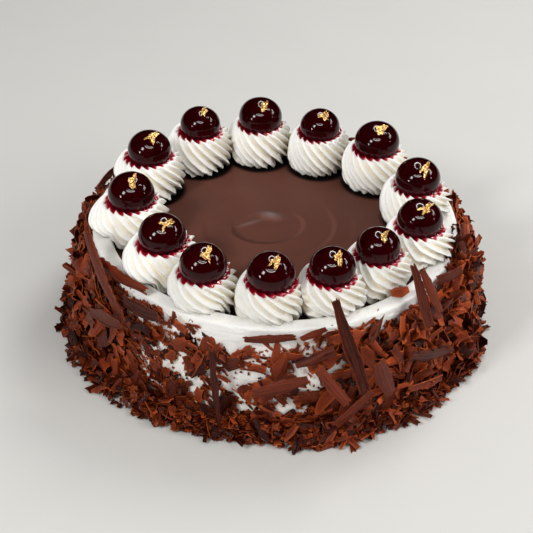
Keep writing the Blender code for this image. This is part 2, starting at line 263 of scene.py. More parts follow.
def new_mesh(name, points, *faces):
    """A mesh from points in millimetres and from arrays of faces with 3 or 4 corners each."""
    mesh = bpy.data.meshes.new(name)
    mesh.vertices.add(len(points))
    mesh.vertices.foreach_set("co", (np.asarray(points) * MM).astype(np.float32).ravel())
    corners = np.concatenate([group.ravel() for group in faces]).astype(np.int32)
    sizes = np.concatenate([np.full(len(group), group.shape[1]) for group in faces])
    mesh.loops.add(len(corners))
    mesh.loops.foreach_set("vertex_index", corners)
    mesh.polygons.add(len(sizes))
    mesh.polygons.foreach_set("loop_start", (np.cumsum(sizes) - sizes).astype(np.int32))
    mesh.update(calc_edges=True)
    mesh.validate()
    return mesh


def add_number(mesh, name, values):
    """Keeps a number for each point, which the material reads."""
    attribute = mesh.attributes.new(name, "FLOAT", "POINT")
    attribute.data.foreach_set("value", np.asarray(values, np.float32).ravel())


def add_uv(mesh, uv):
    """Keeps a place on the piece's own surface for each point."""
    corners = np.zeros(len(mesh.loops), np.int32)
    mesh.loops.foreach_get("vertex_index", corners)
    layer = mesh.uv_layers.new(name="strip")
    layer.data.foreach_set("uv", np.asarray(uv, np.float32).reshape(-1, 2)[corners].ravel())


def add_object(name, data):
    made = bpy.data.objects.new(name, data)
    bpy.context.scene.collection.objects.link(made)
    return made


def add_piece(mesh, finishes, nodes=(), sharp=None):
    """Puts a mesh into the scene as a piece, smooth but for edges sharper than this in degrees."""
    mesh.shade_smooth()
    if sharp:
        mesh.set_sharp_from_angle(angle=math.radians(sharp))
    for finish in finishes:
        mesh.materials.append(finish)
    piece = add_object(mesh.name, mesh)
    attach(piece, "root")
    if nodes:
        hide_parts(*nodes)
    return piece


def add_surface(name, grid, finish, slot, node, **numbers):
    """A piece in place of one solid: a grid whose columns go round and whose two end rows close in a fan. It
    keeps numbers on the grid's points."""
    rows, columns = grid.shape[:2]
    points = np.concatenate([grid.reshape(-1, 3), [grid[0].mean(axis=0)], [grid[-1].mean(axis=0)]])
    j = np.arange(columns)
    beside = (j + 1) % columns
    last = (rows - 1) * columns
    top = np.stack([np.full(columns, rows * columns), j, beside], axis=-1)
    bottom = np.stack([np.full(columns, rows * columns + 1), last + beside, last + j], axis=-1)
    mesh = new_mesh(name, points, grid_faces(rows, columns), np.concatenate([top, bottom]))
    for number, values in numbers.items():
        add_number(mesh, number, np.append(np.broadcast_to(values, (rows, columns)), [0, 0]))
    add_piece(mesh, [finish], [node])


# ---- materials


class Wire:
    """A socket's value. Each sum, product or power of wires adds a Math node."""

    def __init__(self, finish, socket):
        self.finish, self.socket = finish, socket

    def sign(operation, swapped=False):
        def result(self, other):
            pair = (other, self) if swapped else (self, other)
            return self.finish.node("ShaderNodeMath", {"operation": operation}, dict(enumerate(pair)))

        return result

    __add__ = __radd__ = sign("ADD")
    __sub__, __rsub__ = sign("SUBTRACT"), sign("SUBTRACT", swapped=True)
    __mul__ = __rmul__ = sign("MULTIPLY")
    __truediv__, __pow__ = sign("DIVIDE"), sign("POWER")

    def kept(self):
        """The value, held between 0 and 1."""
        return self.finish.node("ShaderNodeClamp", {}, {"Value": self})


class Finish:
    """A material made of nodes."""

    def __init__(self, name, **constants):
        self.material = bpy.data.materials.new(name)
        self.material.use_nodes = True
        self.tree = self.material.node_tree
        self.shader = self.tree.nodes["Principled BSDF"]
        for socket, value in constants.items():
            self.shader.inputs[socket.replace("_", " ")].default_value = value

    def node(self, kind, settings, values, output=0):
        """Adds one node: its settings first, then the values or links of its sockets."""
        made = self.tree.nodes.new(kind)
        for setting, value in settings.items():
            setattr(made, setting, value)
        for socket, value in values.items():
            if isinstance(value, Wire):
                self.tree.links.new(value.socket, made.inputs[socket])
            else:
                made.inputs[socket].default_value = value
        return Wire(self, made.outputs[output])

    def place(self):
        """The point on the cake, in metres."""
        return self.node("ShaderNodeTexCoord", {}, {}, "Object")

    def number(self, name):
        """A number kept on the piece's points."""
        return self.node("ShaderNodeAttribute", {"attribute_name": name}, {}, "Fac")

    def speckle(self, size, detail=2.0, place=None, roughness=0.5, stretch=None):
        """Noise between 0 and 1 with bumps of this size in millimetres. Stretch multiplies its frequency."""
        place = place or self.place()
        if stretch:
            settings = {"vector_type": "POINT"}
            place = self.node("ShaderNodeMapping", settings, {"Vector": place, "Scale": stretch})
        values = {"Vector": place, "Scale": 1 / (size * MM), "Detail": detail, "Roughness": roughness}
        return self.node("ShaderNodeTexNoise", {}, values, "Fac")

    def blend(self, share, first, second):
        """A colour between two colours."""
        first, second = [c if isinstance(c, Wire) else (*c, 1.0) for c in (first, second)]
        settings = {"data_type": "RGBA", "clamp_factor": True}
        return self.node("ShaderNodeMix", settings, {0: share, 6: first, 7: second}, 2)

    def link(self, **sockets):
        for socket, wire in sockets.items():
            self.tree.links.new(wire.socket, self.shader.inputs[socket.replace("_", " ")])
        return self.material

    def done(self, colour, roughness, relief, depth):
        """The material, with relief of this depth in millimetres where it goes from 0 to 1."""
        bump = self.node("ShaderNodeBump", {}, {"Height": relief, "Distance": depth * MM, "Strength": 1.0})
        return self.link(Base_Color=colour, Roughness=roughness, Normal=bump)


def cream_finish():
    """Whipped cream: off-white, with painted warm shade in its folds and a deeper painted ochre shade where two
    mounds touch, red where glaze soaked in, and brown where chocolate rubbed off."""
    depth = {"Subsurface_Weight": 0.15, "Subsurface_Radius": (1.0, 0.8, 0.5), "Subsurface_Scale": 0.001}
    finish = Finish("whipped_cream", IOR=1.4, **depth)
    cloud = finish.speckle(9.0, 3)
    smear = (finish.number("smear") + (finish.speckle(2.2, 3) - 0.5) * 0.9 - 0.2).kept()
    # Painted warm ochre shade where two mounds touch.
    press = (finish.number("press") * (0.55 + 0.9 * finish.speckle(2.5, 2))).kept()
    stain = (finish.number("stain") * 1.25 + (finish.speckle(1.6, 2) - 0.5) * 0.3).kept()
    # Painted warm shade in the folds of the cream.
    colour = finish.blend(finish.number("fold"), (0.965, 0.965, 0.945), (0.85, 0.77, 0.57))
    colour = finish.blend(cloud * 0.3, colour, (0.92, 0.90, 0.84))
    colour = finish.blend(press, colour, (0.70, 0.48, 0.16))
    colour = finish.blend(stain, colour, (0.50, 0.010, 0.028))
    colour = finish.blend(smear * 0.6, colour, (0.42, 0.20, 0.12))
    fine = finish.speckle(1.1, 4, roughness=0.6)
    return finish.done(colour, 0.42 + 0.14 * fine, 0.3 * fine + finish.speckle(5.0, 2), 0.16)


def ganache_finish():
    """Set ganache: satin brown with faint streaks, painted light and shade on the two sides of the spatula's
    steps, a painted pale highlight where it lifted off, and painted black shade close under the mounds."""
    finish = Finish("ganache_top", IOR=1.45, Specular_IOR_Level=0.16)
    cloud = finish.speckle(26, 3)
    streak = finish.speckle(3.0, 3, stretch=(1.0, 0.35, 1.0))
    shade = finish.number("shade")
    # Painted pale highlight on the peak and on the ridge that it dragged.
    bloom = (finish.number("bloom") * (0.35 + 1.1 * streak)).kept()
    # Painted light and shade on the two sides of the spatula's steps, with random tone from the cloud.
    step_light_and_tone = (finish.number("slope") + (cloud - 0.5) * 0.5).kept()
    colour = finish.blend(step_light_and_tone, (0.100, 0.034, 0.023), (0.190, 0.072, 0.052))
    colour = finish.blend(bloom * 0.8, colour, (0.27, 0.20, 0.19))
    colour = finish.blend(shade, colour, (0.002, 0.0006, 0.0006))
    return finish.done(colour, 0.36 + 0.10 * streak + 0.06 * cloud + 0.5 * shade, streak, 0.04)


def cherry_finish():
    """Dark cherry under a thick clear glaze, with a painted red glow towards its foot, as light scattered
    through the cherry.
    """
    glaze = {"Coat_Weight": 1.0, "Coat_Roughness": 0.012, "Coat_IOR": 1.28}
    finish = Finish("cherry_glaze_dark", IOR=1.35, Specular_IOR_Level=0.03, **glaze)
    height = finish.node("ShaderNodeSeparateXYZ", {}, {0: finish.place()}, "Z") / MM
    # Share towards the cherry's foot, where the red glow is painted.
    foot = (1 - (height - float(cherry_box(0)[0][2]) - 1.0) / 4.5).kept()
    cloud = finish.speckle(5.5, 3)
    colour = finish.blend(cloud, (0.006, 0.0, 0.0001), (0.040, 0.0003, 0.0018))
    # Painted red glow towards the foot, as light scattered through the cherry.
    colour = finish.blend(foot * 0.6, colour, (0.060, 0.0006, 0.006))
    return finish.done(colour, 0.15 + 0.1 * cloud, finish.speckle(2.4, 2), 0.10)


def jelly_finish():
    """Clear red glaze that ran down between the ridges of the cream."""
    finish = Finish("glaze_skirt_red", Coat_Weight=1.0, Coat_Roughness=0.05, IOR=1.4, Specular_IOR_Level=0.2)
    cloud = finish.speckle(1.6, 2)
    colour = finish.blend(finish.number("edge") ** 2, (0.040, 0.0, 0.002), (0.44, 0.004, 0.022))
    return finish.done(colour, 0.12 + 0.1 * cloud, cloud, 0.1)


def gold_finish():
    """Crumpled gold leaf, painted from a deep orange shade in its folds to pale yellow highlights."""
    finish = Finish("gold_leaf_foil", Metallic=0.5)
    wrinkle = finish.speckle(0.9, 4, roughness=0.7)
    # Painted shade and highlights: noise sets each place between a deep orange shade and a pale yellow
    # highlight.
    share = ((wrinkle - 0.5) * 6.0 + 0.5).kept()
    colour = finish.blend(share, (0.30, 0.075, 0.004), (1.0, 0.72, 0.27))
    return finish.done(colour, 0.18 + 0.2 * wrinkle, wrinkle, 0.4)


def chocolate_finish(name, dark, light, depth):
    """Shaved chocolate: each chip has its own shade, with fine streaks along its length, and the lighter ones
    have a painted orange glow where they are thin."""
    finish = Finish(name, IOR=1.45, Specular_IOR_Level=0.28)
    strip = finish.node("ShaderNodeUVMap", {"uv_map": "strip"}, {})
    streak = finish.speckle(1000.0, 4, strip, 0.65, (0.08, 1.5, 1.0))
    grain = finish.speckle(0.9, 3)
    own = finish.number("shade")
    shade = (own + (streak - 0.5) * 1.1).kept()
    # Painted orange glow of light through the thin places of the lighter chips.
    thin = (finish.number("thin") ** 3 * (0.2 + 1.2 * grain) * (own * 2.2 - 0.5).kept()).kept()
    colour = finish.blend(shade, dark, light)
    colour = finish.blend(thin * 0.6, colour, (0.46, 0.085, 0.016))
    return finish.done(colour, 0.26 + 0.20 * streak, streak + 0.3 * grain, depth)


def shade_backing_finish():
    """Near-black painted shade in the deep gaps behind the shavings."""
    finish = Finish("packed_crumbs", IOR=1.45, Specular_IOR_Level=0.2)
    crumb = finish.speckle(1.6, 4, roughness=0.7)
    # Near-black, as painted shade in the deep gaps.
    colour = finish.blend(crumb, (0.004, 0.0005, 0.0003), (0.035, 0.006, 0.003))
    return finish.done(colour, 0.55 + 0.2 * crumb, crumb, 0.9)


def floor_finish():
    finish = Finish("pale_floor", Roughness=0.6)
    colour = finish.blend(finish.speckle(60, 2), (0.68, 0.675, 0.655), (0.71, 0.705, 0.685))
    return finish.link(Base_Color=colour)


# ---- cream drum and ganache


def rim_wave(bearing):
    """How far the uneven rim stands up, as two waves round the cake."""
    return RIM_WAVE * (0.6 * np.sin(2 * bearing + 0.6) + 0.4 * np.sin(5 * bearing - 1.1))


def wall_radius(height):
    """Radius of the cream's wall, which widens to its foot."""
    return RIM_RADIUS + (FOOT_RADIUS - RIM_RADIUS) * (1 - height / WALL_TOP)


def make_drum(finish):
    """A turned body: its outline goes over the raised rim, down the wall and in under the cake. Every point
    moves by noise and by the rim's waves, and the rim and the top of the wall step in and out by thin sheets
    that a palette knife left: a sheet ends where slow noise, drawn long round the cake, passes a limit."""
    seat = box("ganache")[0][2] - 0.3
    inside = [(70.0, seat), (82.7, seat), (82.8, seat + 2.0), (82.9, 51.5)]
    rim = [(83.4, 54.6), (84.6, 56.6), (87.2, CREAM_TOP), (90.4, CREAM_TOP)]
    edge = [(91.9, CREAM_TOP - 0.3), (92.4, CREAM_TOP - 1.2), (92.5, CREAM_TOP - 3.0)]
    wall = [(92.7, 49.0), (94.1, 26.0), (95.4, 8.0)]
    foot = [(FOOT_RADIUS, 1.0), (95.4, 0.0), (80.0, 0.0)]
    dense = smooth_curve(inside + rim + edge + wall + foot, 2000)
    stops = [0, *(np.argmin(np.hypot(*(dense - part[0]).T)) for part in (rim, wall, foot))]
    picked = [np.linspace(*ends, rows)[1:] for ends, rows in zip(zip(stops, stops[1:]), (14, 92, 40))]
    picked = np.concatenate([[0], *picked, [1940, 1999]]).astype(int)
    radius, height = dense[picked].T[..., None]
    bearing = ring(640)
    top = ease((height - 52.0) / 4.0)
    face = ease((radius - 84.5) / 2.0) * ease(height / 4.0)
    at = around(bearing, radius, height)
    flat = noise(at * [1, 1, 2.4], 19.0, 0) + 0.4 * noise(at * [1, 1, 3.0], 6.0, 3)
    upper = ease((height - 38.0) / 8.0)
    sheets = 0.0
    for layer, size in enumerate((34.0, 22.0, 15.0)):
        slow = noise(at * [1, 1, 7.0], size, 10 + layer) + 0.35 * noise(at * [1, 1, 2.0], 5.0, 15)
        sheets = sheets + ease((slow - 0.08) / 0.10) / (1 + layer)
    radius = radius + face * (0.55 * flat * (1 - 0.6 * top)) + 0.34 * face * sheets * upper * (1 - 0.5 * top)
    height = height + top * (rim_wave(bearing) + 0.30 * flat + 0.16 * sheets) * ease((radius - 83.0) / 1.2)
    height = np.maximum(height, 0.0)
    smear = coat_cover(bearing, height) * ease((radius - 91.0) / 1.5)
    # Painted warm shade on the wall below the rim, stronger towards its foot.
    fold = 0.2 * (1 - top) * face * ease(1 - height / 60)
    grid = around(bearing, radius, height)
    add_surface("cream_drum", grid, finish, "cream", "cake_drum", fold=fold, smear=smear)


def swirl(x, y):
    """Relief of the spatula's last turns, and where a pale highlight is painted. Every arc is a low terrace
    that steps up over 3 mm and falls away slowly outwards. A small peak stands where the spatula lifted off,
    with the short ridge that it dragged, and the highlight is painted on both."""
    radius, bearing = np.hypot(x + 4.0, (y - 2.0) * 1.08), np.degrees(np.arctan2(y - 2.0, x + 4.0))
    wander = 1.8 * np.sin(np.radians(bearing) + 0.8) + 0.9 * np.sin(np.radians(2 * bearing))
    relief = 0.0
    for reach, start, end, rise in SPATULA_ARCS:
        past = radius - reach - wander
        step = ease((past + 1.5) / 3.0) * np.exp(-np.maximum(past - 1.5, 0) / 8.0)
        turned = (bearing - start) % 360
        relief = relief + rise * step * ease(turned / 60) * ease((end - start - turned) / 60)
    peak = np.exp(-(((x + 1.5) / 5.0) ** 2) - ((y - 12.0 + 0.25 * x) / 2.8) ** 2)
    drag = np.exp(-(((x + 13.0) / 6.0) ** 2) - ((y - 4.5 - 0.55 * (x + 13.0)) / 1.4) ** 2)
    hook = np.exp(-((np.hypot(x + 4.0, y - 9.0) - 8.0) ** 2)) * ease((y - 9.0) / 5.0)
    # The second number is the painted highlight on the peak and its drag.
    return relief + 1.1 * peak + 0.35 * drag + 0.18 * hook, peak + 0.5 * drag


def under_mounds(points):
    """How deep in the shade of the mounds' feet each point lies, 0 to 1. The mounds behind shade more."""
    shade = 0.0
    for x, y, mound in PLACES:
        near = np.hypot(points[..., 0] - x, points[..., 1] - y) - 0.86 * mound
        behind = 0.45 + 0.55 * ease((y + 20) / 50)
        shade = np.maximum(shade, behind * ease((3.6 + 1.4 * ease(y / 50) - near) / 3.4))
    return shade


def make_ganache(finish):
    """A disc: rings out to the rim that carry the swirl and broad noise, then its edge and its underside."""
    low, high = box("ganache")
    reach = high[0] - 0.1
    bearing = ring(GANACHE_COLUMNS)
    flat = around(bearing, np.linspace(0.6, reach - 0.4, 150)[:, None], 0.0)
    x, y = flat[..., 0], flat[..., 1]
    relief, bloom = swirl(x, y)
    # Painted light and shade: where the relief falls towards +x and +y the step is painted darker, where it
    # rises lighter.
    light_side_drop = relief - swirl(x + 1.6, y + 1.6)[0]
    height = GANACHE_TOP - 0.55 + relief + 0.12 * noise(flat, 24.0, 8) + 0.02 * noise(flat, 6.0, 9)
    edge = [(reach, GANACHE_TOP - 1.0), (reach, low[2]), (reach - 5, low[2])]
    grid = np.concatenate([stacked(x, y, height), *[around(bearing, *stop) for stop in edge]])
    rest = np.zeros((len(edge), GANACHE_COLUMNS))
    slope = 0.5 - np.clip(light_side_drop / 0.8, -0.5, 0.5)
    bloom, slope = (np.append(values, rest, axis=0) for values in (bloom, slope))
    numbers = {"shade": under_mounds(grid), "bloom": bloom, "slope": slope}
    add_surface("ganache_pool", grid, finish, "ganache", "ganache", **numbers)


# ---- rosettes, cherries, glaze and gold leaf


def cherry_box(index):
    """(low corner, middle, radius) of a cherry's solid."""
    low, high = box(f"cherry_{index + 1:02d}")
    return low, (low + high) / 2, (high[0] - low[0]) / 2


# Every mound's x and y, which are its cherry's, and its radius
PLACES = np.array([(*cherry_box(index)[1][:2], mound) for index, mound in enumerate(MOUND_RADII)])
ROSETTE_TOP = box("rosette_01")[1][2]
OUTLINE = smooth_curve(MOUND_OUTLINE, 400)
OUTLINE_DOWN = np.linspace(0, 1, len(OUTLINE))


def mound_surface(index, angle, down, lift=0.0):
    """Points of a piped mound, how deep in a valley each one is, and how close to the next mounds, which marks
    where warm shade is painted. Angle runs round the mound along its ridges, down runs from 0 at its top to 1
    under its foot.

    The outline gives radius and height. A ridge's section is sin(pi/2 w), where w goes from 0 at its crest to
    1 in the valley and back; it sinks the surface along its normal. On the ridge's long side w is raised to a
    power, so that the crest stays thin. The ridges twist on their way down and flare at the foot, and their
    valleys lift there. The foot rests on the rim outside and on the ganache inside, and spreads outwards on
    the rim. The side is pressed flat against the next mound.
    """
    middle, mound = PLACES[index, :2], PLACES[index, 2]
    ridges = MOUND_RIDGES[index]
    rng = dice(index)
    slope = unit(np.gradient(OUTLINE, axis=0) * [mound, MOUND_TALL])
    share, level, up, inwards = (np.interp(down, OUTLINE_DOWN, side) for side in (*OUTLINE.T, *slope.T))

    turns = angle / TURN * ridges
    part = turns % 1.0
    w = np.where(part < RIDGE_VALLEY_AT, (part / RIDGE_VALLEY_AT) ** 1.35, (1 - part) / (1 - RIDGE_VALLEY_AT))
    valley = np.sin(math.pi / 2 * w)
    depth_at = rng.uniform(0.75, 1.15, ridges)[np.floor(turns).astype(int) % ridges]
    size_at = between(1 + rng.uniform(-0.025, 0.025, ridges), turns)
    foot_at = between(rng.uniform(0.2, 1.3, ridges), turns)
    strength = ease(share / 0.62) * (0.45 + 0.55 * ease((down - 0.22) / 0.18))
    sink = RIDGE_DEPTH * valley * depth_at * strength - lift
    foot = ease((down - 0.55) / 0.12) * ease((0.8 - down) / 0.08) * foot_at

    radius = share * mound * size_at + sink * inwards + FOOT_FLARE * (1 - valley) * foot
    wobble = 0.03 * np.sin(3 * angle + index) + 0.018 * np.sin(5 * angle + 2.1 * index)
    twist = RIDGE_TWIST * np.clip((down - 0.12) / 0.62, 0, 1)
    at = around(angle + 2.4 * index + twist + wobble * ease(down / 0.5), radius, 0.0)[..., :2]
    away = unit(middle)
    spread = MOUND_SPREAD[index] * ease((down - 0.32) / 0.3) * ease(at @ away / mound)
    at = at + middle + spread[..., None] * away

    to_axis = np.hypot(at[..., 0], at[..., 1])
    seat = GANACHE_TOP + (CREAM_TOP - GANACHE_TOP) * ease((to_axis - 80.5) / 4.0)
    seat = seat + rim_wave(np.arctan2(at[..., 1], at[..., 0])) * ease((to_axis - 82.0) / 2.0)
    height = seat + level * (ROSETTE_TOP - seat) - sink * up + FOOT_ARCH * valley * foot

    after = (index + 1) % len(PLACES)
    way = PLACES[after, :2] - middle
    gap = np.linalg.norm(way)
    over = (at - middle) @ way / gap - (gap - 0.955 * PLACES[after, 2])
    pushed = np.where(over > -1.0, -np.exp(-np.maximum(over + 1.0, 0)), over) - over
    at = at + pushed[..., None] * way / gap
    # How close to the next mounds, as a mask for the painted warm shade where two mounds touch.
    press = 0.0
    for x, y, size in PLACES[[index - 1, after]]:
        near = np.hypot(at[..., 0] - x, at[..., 1] - y) - 0.97 * size
        press = np.maximum(press, ease((3.2 - near) / 3.2))
    press = press * ease((0.85 - level) / 0.4) * (0.35 + 0.65 * valley)
    points = stacked(at[..., 0], at[..., 1], height)
    rough = 0.14 + 0.45 * ease((down - 0.58) / 0.1)
    points = points + (rough * noise(points, 3.2, 20, 2))[..., None] * [1.0, 1.0, 0.6]
    return points, valley * strength, press


def glaze_reach(index, angle):
    """How far down the mound the glaze starts, under the cherry, and how far it ran: more in the valleys."""
    ridges = MOUND_RIDGES[index]
    rng = dice(60 + index)
    foot = np.interp(0.84 * cherry_box(index)[2] / PLACES[index, 2], OUTLINE[:150, 0], OUTLINE_DOWN[:150])
    valley = np.clip(mound_surface(index, angle, 0.3)[1], 0, 1)
    runs = between(rng.uniform(0, 1, ridges) ** 2.2, angle / TURN * ridges)
    slow = 0.5 + 0.5 * np.sin(angle + rng.uniform(0, TURN))
    fine = noise(around(angle, 8.0, 40.0 * index), 2.6, 61)
    return foot, foot + 0.048 + 0.024 * slow + 0.020 * fine + 0.055 * runs * valley**0.8


def make_rosettes(finish):
    """One closed surface for each mound."""
    down = np.concatenate([[0.03, 0.12], np.linspace(0.19, 0.8, 64), [0.93]])[:, None]
    for index, ridges in enumerate(MOUND_RIDGES):
        angle, number = ring(ridges * RIDGE_COLUMNS), f"{index + 1:02d}"
        grid, valley, press = mound_surface(index, angle, down)
        # Painted warm shade deep in the valleys, and a little over the lower half of the mound.
        fold = 0.85 * valley**2 * ease((down - 0.18) / 0.2) + 0.2 * ease((down - 0.5) / 0.2)
        stain = ease((glaze_reach(index, angle)[1] + 0.012 - down) / 0.03)
        numbers = {"fold": fold, "press": press, "stain": stain}
        add_surface("piped_cream_" + number, grid, finish, "cream", "rosette_" + number, **numbers)


def make_cherries(finish):
    """Each cherry is a ball that is a little flat and keeps its width low down, with slow dents. Its rows run
    from 88 degrees above its widest place to its foot, which sinks a little into the cream."""
    rise = np.radians(np.concatenate([np.linspace(88, -42, 44), [-55, -70]]))[:, None]
    full = 1 + 0.10 * np.sin(np.maximum(-rise, 0) * 1.6) ** 2
    for index in range(len(PLACES)):
        low, middle, size = cherry_box(index)
        ball = around(ring(72), np.cos(rise) * full, CHERRY_FOOT + CHERRY_FLATNESS * np.sin(rise)) * size
        dent = 1 + 0.012 * noise(ball + 31.0 * index, 9.0, 30)[..., None]
        grid = ball * dent + [middle[0], middle[1], low[2]]
        number = f"{index + 1:02d}"
        add_surface("glazed_cherry_" + number, grid, finish, "cherry_glaze", "cherry_" + number)


def make_skirts(finish):
    """The glaze that ran off each cherry: a ring on the mound's own surface, from under the cherry to an edge
    that is further down in the valleys. It fills the valleys by the cherry and thins to its edge."""
    across = np.array([0.0, 0.2, 0.4, 0.55, 0.7, 0.82, 0.92, 0.98, 1.0, 0.97, 0.5, 0.0])[:, None]
    lift = np.array([0.3, 0.3, 0.3, 0.29, 0.27, 0.24, 0.18, 0.08, -0.12, -0.3, -0.4, -0.4])[:, None]
    fill = ease(1.3 - 1.3 * across) * (lift > 0)
    points, faces, edges, count = [], [], [], 0
    for index, ridges in enumerate(MOUND_RIDGES):
        columns = ridges * RIDGE_COLUMNS
        angle = ring(columns)
        foot, edge = glaze_reach(index, angle)
        down = (foot - 0.10) * (1 - across) + (edge - 0.012) * across
        valley = mound_surface(index, angle, down)[1]
        grid = mound_surface(index, angle, down, lift + 0.7 * RIDGE_DEPTH * valley * fill)[0]
        points.append(grid.reshape(-1, 3))
        faces.append(grid_faces(len(across), columns, loop=True) + count)
        edges.append(np.broadcast_to(across, grid.shape[:2]).ravel())
        count += len(points[-1])
    mesh = new_mesh("glaze_skirts", np.concatenate(points), np.concatenate(faces))
    add_number(mesh, "edge", np.concatenate(edges))
    add_piece(mesh, [finish])


def make_gold_leaf(finish):
    """A crumpled scrap of leaf on the front of each cherry's top: a small grid that is pinched and ruffled by
    noise, and follows the cherry's curve with one side standing up."""
    across, along = np.meshgrid(np.linspace(-1, 1, 21), np.linspace(-1, 1, 17))
    rows, columns = across.shape
    scraps = []
    for index in range(len(PLACES)):
        rng = dice(90 + index)
        low, middle, size = cherry_box(index)
        at = stacked(across, along, 9.0 * index)
        ragged = 1 + 0.7 * noise(at, 0.45, 91) * np.maximum(abs(across), abs(along))
        x = 2.7 * across * ragged
        y = 1.5 * along * ragged * (1 - 0.45 * across)
        crumple = 1.0 * noise(at, 0.7, 92) + 0.6 * noise(at, 0.3, 93)
        stand = 1.5 * ease(across * 0.9 - 0.1) * rng.uniform(0.3, 1.0)
        turn = rng.uniform(0.55, 1.25)
        x, y = x * np.cos(turn) - y * np.sin(turn), x * np.sin(turn) + y * np.cos(turn)
        x, y = x + size * rng.uniform(0.16, 0.26), y - size * rng.uniform(0.34, 0.44)
        top = CHERRY_FLATNESS * np.sqrt(np.maximum(1 - (x**2 + y**2) / size**2, 0.1)) - CHERRY_FLATNESS
        z = 2 * middle[2] - low[2] + size * top + 0.6 + crumple * 0.75 + stand
        scraps.append(stacked(middle[0] + x, middle[1] + y, z))
    i, j = np.meshgrid(np.arange(rows - 1), np.arange(columns - 1), indexing="ij")
    quads = stacked(i * columns + j, i * columns + j + 1, (i + 1) * columns + j + 1, (i + 1) * columns + j)
    faces = quads.reshape(-1, 4)[None] + (np.arange(len(scraps)) * rows * columns)[:, None, None]
    mesh = new_mesh("gold_leaf_scraps", np.array(scraps).reshape(-1, 3), faces.reshape(-1, 4))
    wall = add_piece(mesh, [finish], sharp=24).modifiers.new("leaf", "SOLIDIFY")
    wall.thickness = 0.07 * MM
    wall.offset = 0.0


# ---- the coat of shavings


def coat_profile():
    """The coat's outer radii at every millimetre of height, and its top edge, at each column of its solid."""
    points = solid_points("shavings_coat")
    radius = np.hypot(points[:, 0], points[:, 1])
    column = np.arctan2(points[:, 1], points[:, 0]) / TURN * HEAP_COLUMNS
    column = np.round(column).astype(int) % HEAP_COLUMNS
    heights = np.arange(HEAP_TALL + 1)
    radii, crests = [], []
    for step in range(HEAP_COLUMNS):
        own = column == step
        top = points[own, 2].max()
        outer = own & ((radius > HEAP_INNER) | (points[:, 2] > top - 0.5))
        order = np.argsort(points[outer, 2])
        radii.append(np.interp(heights, points[outer, 2][order], radius[outer][order]))
        crests.append(top)
    return np.array(radii + radii[:1]), np.array(crests)


COAT_RADII, COAT_CRESTS = coat_profile()


def coat_radius(bearing, height):
    """Outer radius of the heap of shavings, between the four nearest places where its solid gives it."""
    across = (np.asarray(bearing) % TURN) / TURN * HEAP_COLUMNS
    up = np.clip(np.asarray(height), 0, HEAP_TALL - 0.01)
    i, k = np.floor(across).astype(int) % HEAP_COLUMNS, np.floor(up).astype(int)
    p, q = across - np.floor(across), up - np.floor(up)
    low = COAT_RADII[i, k] * (1 - q) + COAT_RADII[i, k + 1] * q
    high = COAT_RADII[i + 1, k] * (1 - q) + COAT_RADII[i + 1, k + 1] * q
    return low * (1 - p) + high * p


def towards(bearing, middle, width, slope=1.0):
    """1 at the middle bearing in degrees, and 0 further away than the width. A slope over 1 widens the 1."""
    away = np.abs((np.degrees(bearing) - middle + 180) % 360 - 180)
    return ease(slope * (1 - away / width))


def coat_crest(bearing):
    """Height of the heap's top edge. On the left the loose shavings stand up against the mounds, and on the
    right they lie over the rim's edge."""
    solid = between(COAT_CRESTS, np.asarray(bearing) / TURN * HEAP_COLUMNS)
    left, right = 57.5 * towards(bearing, -178, 40) ** 0.3, 60.0 * towards(bearing, -12, 38) ** 0.2
    return np.maximum(solid, np.maximum(left, right))


def thinness(bearing):
    """How thin the coat is, 0 to 1: thin on the whole front, and a little on the right and behind."""
    side = np.maximum(towards(bearing, -45, 34), towards(bearing, 120, 50))
    return np.maximum(towards(bearing, -100, 70, 1.6), 0.45 * side)


def coat_cover(bearing, height):
    """How fully the shavings cover the cream, 0 to 1: noise against a limit, which is higher where the coat
    is thin, and nothing above the heap's ragged top edge."""
    at = around(bearing, FOOT_RADIUS, height)
    patches = noise(at * [1, 1, 1.15], 4.0, 52, 3)
    thin = thinness(bearing) * ease((height - 3) / 8) * ease((WALL_TOP - height) / 8)
    cover = ease((patches + 0.9 - 0.84 * thin) / 0.2)
    ragged = 2.4 * noise(at, 5.0, 51)
    return cover * ease((coat_crest(bearing) - 1.0 + ragged - height) / 2.5)


def make_shade_backing(finish):
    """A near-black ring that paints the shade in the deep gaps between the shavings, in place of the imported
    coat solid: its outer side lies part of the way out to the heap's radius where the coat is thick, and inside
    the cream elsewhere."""
    bearing = ring(600)
    height = 0.2 + np.linspace(1, 0, 74)[:, None] * (coat_crest(bearing) - 1.2)
    wall = wall_radius(height)
    cover = coat_cover(bearing, height) * (height < coat_crest(bearing) - 1.1)
    rough = 0.8 * noise(around(bearing, wall, height), 3.0, 55, 2)
    thick = ease(1.2 - 5.0 * thinness(bearing) * ease((height - 4) / 6))
    full = np.maximum(coat_radius(bearing, height) - wall, 2.5)
    outer = around(bearing, wall - 2.0 + cover * thick * (2.4 + 0.10 * full + rough), height)
    points = np.concatenate([outer, around(bearing, 90.0, np.array([[0.2], [50.0]]))])
    mesh = new_mesh("packed_crumbs", points.reshape(-1, 3), grid_faces(*points.shape[:2], loop=True))
    add_piece(mesh, [finish], ["shavings_coat"])


class Shaving(NamedTuple):
    """One kind of shaving. Ranges are in millimetres, tilt and roll in radians, bow in degrees."""

    length: tuple
    width: tuple
    thick: tuple
    depth: tuple  # where it lies, from 0 at the wall to 1 at the heap's outside
    way: str  # how its length runs on the side: any, steep or level
    tilt: float
    roll: float
    cup: float  # a share of the width
    bow: float
    jag: float  # of its sides, a share of the half width
    sinks: float  # how much deeper it lies where the long shards are


